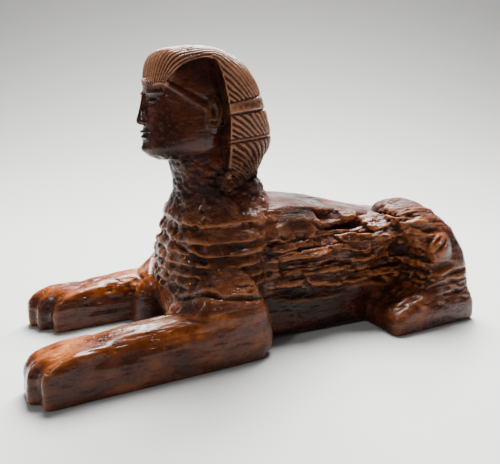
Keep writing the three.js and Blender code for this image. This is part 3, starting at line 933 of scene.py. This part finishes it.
class Material:
    def __init__(self, name):
        self.material = bpy.data.materials.new(name)
        self.material.use_nodes = True
        self.tree = self.material.node_tree
        self.shader = self.tree.nodes["Principled BSDF"]

    def join(self, place, value):
        # a link or a fixed value; a colour is three numbers
        if isinstance(value, Socket):
            self.tree.links.new(value.socket, place)
        else:
            place.default_value = (*value, 1) if place.type == "RGBA" else value

    def node(self, kind, settings=None, output=0, **inputs):
        node = self.tree.nodes.new(kind)
        for name, value in (settings or {}).items():
            if name == "stops":
                elements = node.color_ramp.elements
                while len(elements) < len(value):
                    elements.new(0.5)
                for element, (place, colour) in zip(elements, value):
                    element.position = place
                    element.color = (*colour, 1)
            else:
                setattr(node, name, value)
        for name, value in inputs.items():
            # i1 is the socket with the number 1
            numbered = name[0] == "i" and name[1:].isdigit()
            self.join(node.inputs[int(name[1:]) if numbered else name.replace("_", " ")], value)
        return Socket(self.tree, node.outputs[output])

    def attribute(self, name):
        return self.node("ShaderNodeAttribute", {"attribute_name": name}, output=2)

    def objectPlace(self, scale=(1, 1, 1)):
        place = self.node("ShaderNodeTexCoord", output=3)
        return self.node("ShaderNodeMapping", {"vector_type": "POINT"}, Vector=place, Scale=scale)

    def noise(self, place, scale, detail=4.0, roughness=0.55):
        return self.node("ShaderNodeTexNoise", Vector=place, Scale=scale, Detail=detail, Roughness=roughness)

    def ramp(self, value, stops):
        return self.node("ShaderNodeValToRGB", {"stops": stops}, Fac=value)

    def clamp(self, value, low, high):
        soft = {"interpolation_type": "SMOOTHSTEP"}
        return self.node("ShaderNodeMapRange", soft, Value=value, i1=low, i2=high)

    def mix(self, factor, a, b):
        return self.node("ShaderNodeMix", {"data_type": "RGBA"}, output=2, i0=factor, i6=a, i7=b)

    def feed(self, name, value):
        self.join(self.shader.inputs[name], value)


lacquer = {
    # place on the ramp and colour, from dark to pale
    "stain": [(0.36, (0.02, 0.0052, 0.0028)), (0.47, (0.062, 0.0148, 0.006)),
              (0.57, (0.15, 0.04, 0.0125)), (0.7, (0.32, 0.112, 0.036))],
    "honey": [(0.38, (0.05, 0.0095, 0.0016)), (0.48, (0.16, 0.034, 0.0045)),
              (0.58, (0.38, 0.11, 0.016)), (0.7, (0.68, 0.29, 0.065))],
    # dark and pale
    # shade is the dark red-brown of the face's stain; it also serves as painted shade on the neck and the top
    # of the back, and darkens the lower flank
    "shade": [(0.0075, 0.0022, 0.0013), (0.058, 0.0088, 0.002)],
    "cloth": [(0.085, 0.027, 0.017), (0.25, 0.103, 0.066)],
    "tail": [(0.018, 0.004, 0.0025), (0.13, 0.034, 0.012)],
    "crust": (0.005, 0.002, 0.0014),
    "ears": (0.085, 0.036, 0.01),
    "blotch": (0.012, 0.0042, 0.0024),
    "ridge": (0.32, 0.105, 0.028),
    "clothRidge": (0.42, 0.19, 0.09),
    # the colour of recesses and grooves: partly stain gathered there, partly painted shade
    "hollow": (0.013, 0.0046, 0.0028),
    "rim": (0.62, 0.26, 0.11),
    "roughness": 0.17,
    "coat": 0.4,
    "coatRoughness": 0.1,
    "bumpHeight": 0.0006,
}


def lacqueredWood():
    wood = Material("lacquered wood")
    place = wood.objectPlace()
    along = wood.objectPlace((1, 0.12, 1))
    fine, broad = wood.attribute("fineHollow"), wood.attribute("broadHollow")
    cloth, rim, ears = wood.attribute("cloth"), wood.attribute("rim"), wood.attribute("ears")
    amber, dark, rough = wood.attribute("amber"), wood.attribute("dark"), wood.attribute("rough")
    low, tail, worn = wood.attribute("low"), wood.attribute("tail"), wood.attribute("worn")
    # hollow darkens the colour in recesses and grooves: partly the stain that gathers there, partly painted
    # shade
    hollow = wood.clamp(fine * 2.8 + broad * 0.55, 0.0, 0.85)
    ridge = wood.clamp(fine * -2.4 + broad * -0.4, 0.06, 0.7)
    patch = wood.noise(place, 34.0, 5.0, 0.6)
    cloud = wood.noise(place, 90.0, 4.0, 0.6)
    speck = wood.noise(place, 520.0, 3.0, 0.6)
    streak = wood.noise(along, 190.0, 6.0, 0.62)
    tone = patch * 0.45 + streak * 0.3 + cloud * 0.25 + rough * 0.035 - 0.022
    stain = wood.ramp(tone, lacquer["stain"])
    honey = wood.ramp(tone, lacquer["honey"])
    shade = wood.mix(wood.clamp(patch, 0.4, 0.65), *lacquer["shade"])
    crust = dark * rough
    # amber stain on the legs, with a painted highlight that makes their tops lighter
    colour = wood.mix(wood.clamp(amber * 1.3 - 0.8 + patch * 0.9, 0.0, 0.75), stain, honey)
    # the lower flank and belly are darker towards the bottom, and the top of the back takes a painted shade
    colour = wood.mix(wood.clamp(low * 0.9 + worn * 0.6, 0.0, 1.0), colour, shade)
    # the face's dark stain, and on the neck partly painted shade
    colour = wood.mix(dark * 0.9, colour, shade)
    colour = wood.mix(crust * wood.clamp(cloud, 0.4, 0.58) * 0.7, colour, lacquer["crust"])
    colour = wood.mix(ears * wood.clamp(cloud, 0.42, 0.6) * 0.6, colour, lacquer["ears"])
    upperCloth = wood.mix(wood.clamp(patch, 0.35, 0.65), *lacquer["cloth"])
    tailCloth = wood.mix(wood.clamp(cloud, 0.4, 0.62), *lacquer["tail"])
    colour = wood.mix(cloth, colour, wood.mix(tail * 0.9, upperCloth, tailCloth))
    colour = wood.mix(rough * wood.clamp(cloud, 0.52, 0.66) * 0.6, colour, lacquer["blotch"])
    colour = wood.mix(ridge * (rough * 0.22 - dark * 0.45 + 0.32), colour, lacquer["ridge"])
    colour = wood.mix(ridge * cloth * (0.5 - tail * 0.4), colour, lacquer["clothRidge"])
    # darker in recesses and stripe grooves: partly gathered stain, partly painted shade
    colour = wood.mix(hollow * (0.84 - cloth * 0.2), colour, lacquer["hollow"])
    colour = wood.mix(rim * wood.clamp(cloud, 0.42, 0.56) * 0.9, colour, lacquer["rim"])
    wood.feed("Base Color", colour)
    gloss = wood.clamp(cloud + speck * 0.25, 0.45, 0.8)
    dull = hollow * 0.15 + crust * 0.1 + worn * 0.4 - rough * 0.06
    wood.feed("Roughness", gloss * 0.24 + dull + lacquer["roughness"])
    wood.feed("IOR", 1.45)
    wood.feed("Specular IOR Level", 0.2)
    coat = lacquer["coat"] - hollow * 0.5 - crust * 0.4 - low * 0.35 - worn * 0.5
    wood.feed("Coat Weight", wood.clamp(coat, 0.0, 1.0))
    wood.feed("Coat Roughness", lacquer["coatRoughness"])
    wood.feed("Coat IOR", 1.3)
    grain = wood.noise(place, 700.0, 4.0, 0.6)
    pits = wood.clamp(wood.noise(place, 420.0, 2.0, 0.5), 0.34, 0.44)
    dents = wood.noise(wood.objectPlace((1, 0.45, 1)), 230.0, 2.0, 0.5)
    cuts = wood.clamp(wood.noise(wood.objectPlace((1, 0.2, 1)), 560.0, 2.0, 0.5), 0.3, 0.42)
    height = grain * (rough + 0.15) + streak * 0.7 + pits * (rough * 1.1 + 0.3)
    height = height + dents * (rough * 0.8 + 1.5) + cuts * (1.35 - dark * 1.2 - cloth * 0.8)
    bump = wood.node("ShaderNodeBump", Strength=0.6, Distance=lacquer["bumpHeight"], Height=height)
    wood.feed("Normal", bump)
    return wood.material


block.data.materials.clear()
block.data.materials.append(lacqueredWood())
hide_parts("sphinx_statue")
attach(block, "root")
print("lacquered")


# Room, light and camera

camera = {
    "place": (260.1, -126.65, 123.4),
    "azimuth": 63.14,
    "elevation": 13.25,
    "focalPixels": 500,
    "photoWidth": 500,
    "sensor": 36.0,
}


def makeCamera():
    data = bpy.data.cameras.new("camera")
    data.sensor_width = camera["sensor"]
    data.lens = camera["focalPixels"] / camera["photoWidth"] * camera["sensor"]
    data.clip_start, data.clip_end = 0.01, 20
    item = bpy.data.objects.new("camera", data)
    bpy.context.collection.objects.link(item)
    a, e = math.radians(camera["azimuth"]), math.radians(camera["elevation"])
    forward = Vector((-math.sin(a) * math.cos(e), math.cos(a) * math.cos(e), -math.sin(e)))
    item.location = toFrame(camera["place"])
    item.rotation_euler = forward.to_track_quat("-Z", "Y").to_euler()
    bpy.context.scene.camera = item


floor = {
    "front": 0.25, "flat": 0.3, "bend": 0.36, "bendSteps": 24, "top": 0.06, "halfWidth": 1.6,
    "colour": (0.42, 0.416, 0.4),
    "roughness": 0.75,
}


def makeFloor():
    # a pale sheet that lies flat and then sweeps up behind
    a = math.radians(camera["azimuth"])
    away = np.array([-math.sin(a), math.cos(a)])
    across = np.array([math.cos(a), math.sin(a)])
    flat, bend = floor["flat"], floor["bend"]
    profile = [(-floor["front"], 0.0), (-0.1, 0.0), (flat, 0.0)]
    for turn in np.linspace(0.05, 1.57, floor["bendSteps"]):
        profile.append((flat + bend * math.sin(turn), bend * (1 - math.cos(turn))))
    profile.append((flat + bend, bend + floor["top"]))
    points, faces = [], []
    for reach, height in profile:
        for side in (-floor["halfWidth"], floor["halfWidth"]):
            points.append((*(away * reach + across * side), height))
    for i in range(len(profile) - 1):
        faces.append((2 * i, 2 * i + 1, 2 * i + 3, 2 * i + 2))
    mesh = bpy.data.meshes.new("floor")
    mesh.from_pydata(points, [], faces)
    item = bpy.data.objects.new("floor", mesh)
    bpy.context.collection.objects.link(item)
    for polygon in mesh.polygons:
        polygon.use_smooth = True
    paper = Material("pale paper")
    paper.feed("Base Color", floor["colour"])
    paper.feed("Roughness", floor["roughness"])
    item.data.materials.append(paper.material)


lights = {
    # place, aim, size, power in watts and spread in degrees
    "overhead": [(-0.54, 0.28, 1.12), (0, 0, 0), (0.8, 0.8), 52, 112],
    "window": [(-0.95, 0.95, 0.95), (0, 0, 0.05), (0.26, 0.26), 32, 180],
    "lamp": [(0.45, -0.8, 0.75), (0, 0, 0.06), (0.12, 0.12), 3, 180],
}
room = {
    "colour": (0.86, 0.9, 0.95),
    "strength": 0.17,
}


def softLight(name, place, aim, size, power, spread):
    data = bpy.data.lights.new(name, "AREA")
    data.shape = "RECTANGLE"
    data.size, data.size_y = size
    data.energy = power
    data.spread = math.radians(spread)
    item = bpy.data.objects.new(name, data)
    bpy.context.collection.objects.link(item)
    item.location = place
    item.rotation_euler = (Vector(aim) - Vector(place)).to_track_quat("-Z", "Y").to_euler()


makeCamera()
makeFloor()
for name, light in lights.items():
    softLight(name, *light)
world = bpy.data.worlds.new("room")
world.use_nodes = True
world.node_tree.nodes["Background"].inputs["Color"].default_value = (*room["colour"], 1)
world.node_tree.nodes["Background"].inputs["Strength"].default_value = room["strength"]
bpy.context.scene.world = world
print("lit")
